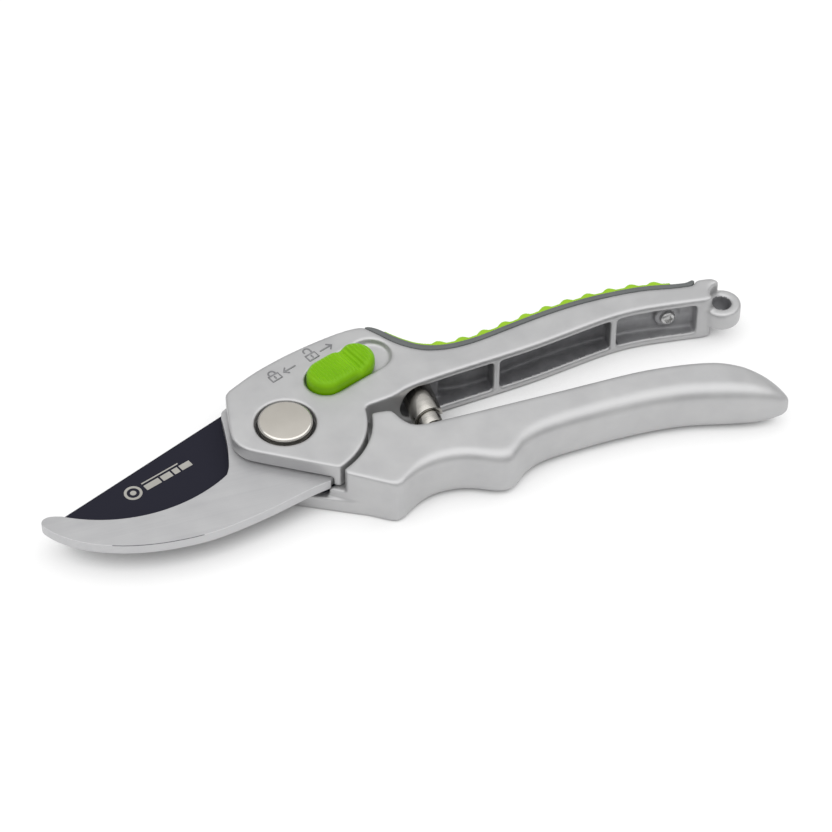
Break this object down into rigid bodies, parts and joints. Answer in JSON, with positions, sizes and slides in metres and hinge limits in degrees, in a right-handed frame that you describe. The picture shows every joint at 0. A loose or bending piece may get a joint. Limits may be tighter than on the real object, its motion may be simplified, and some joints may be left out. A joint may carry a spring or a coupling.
{
  "type": "pruning shears",
  "caption": "Bypass pruning shears with curved jaws, cast channel handles, a cone spring between them, a thumb lock and a soft ridged grip, closed and locked.",
  "frame": {"origin": "middle of the footprint, on the face that the shears lie on", "axes": "+X from the jaws to the handles, +Y towards the handle with the grip, +Z along the pivot bolt to its head"},
  "size_m": [0.2073, 0.0604, 0.0184],
  "materials": {
    "cast_aluminium": "satin die-cast aluminium, lightly brushed on its flat faces",
    "hook_steel": "satin ground steel with a bright edge",
    "coated_steel": "near-black low-friction coating with a slight blue tone",
    "bolt_steel": "satin nickel-plated steel",
    "fastener_steel": "zinc-plated steel",
    "bushing_bronze": "sintered bronze",
    "washer_black": "black acetal",
    "lock_green": "moulded lime green plastic",
    "spring_steel": "nickel-plated spring strip",
    "grip_grey": "dark grey moulded plastic, fine texture",
    "grip_green": "soft lime green rubber"
  },
  "bodies": {
    "upper": {"upper_handle": "cast_aluminium", "counter_blade": "hook_steel", "counter_blade_screws": "fastener_steel", "pivot_bolt": "bolt_steel", "pivot_washer": "fastener_steel", "pivot_nut": "fastener_steel", "pivot_wear_washer": "washer_black", "lock_detent_spring": "spring_steel", "grip_carrier": "grip_grey", "grip_pad": "grip_green", "grip_screw": "fastener_steel", "volute_spring": "spring_steel"},
    "lower": {"lower_handle": "cast_aluminium", "cutting_blade": "coated_steel", "cutting_blade_screws": "fastener_steel", "pivot_bushing": "bushing_bronze"},
    "lock": {"lock_button": "lock_green", "lock_slider": "fastener_steel", "lock_pin": "fastener_steel", "lock_screw": "fastener_steel"}
  },
  "joints": [
    {"name": "handle_swing", "type": "hinge", "parent": "upper", "child": "lower", "pos_m": [-0.03305, 0.00097, 0.0075], "axis": [0, 0, -1], "range_deg": [0, 30], "deforming": ["volute_spring"]},
    {"name": "lock_slide", "type": "slide", "parent": "upper", "child": "lock", "axis": [0.9304, 0.3665, 0], "range_m": [0, 0.005]}
  ]
}
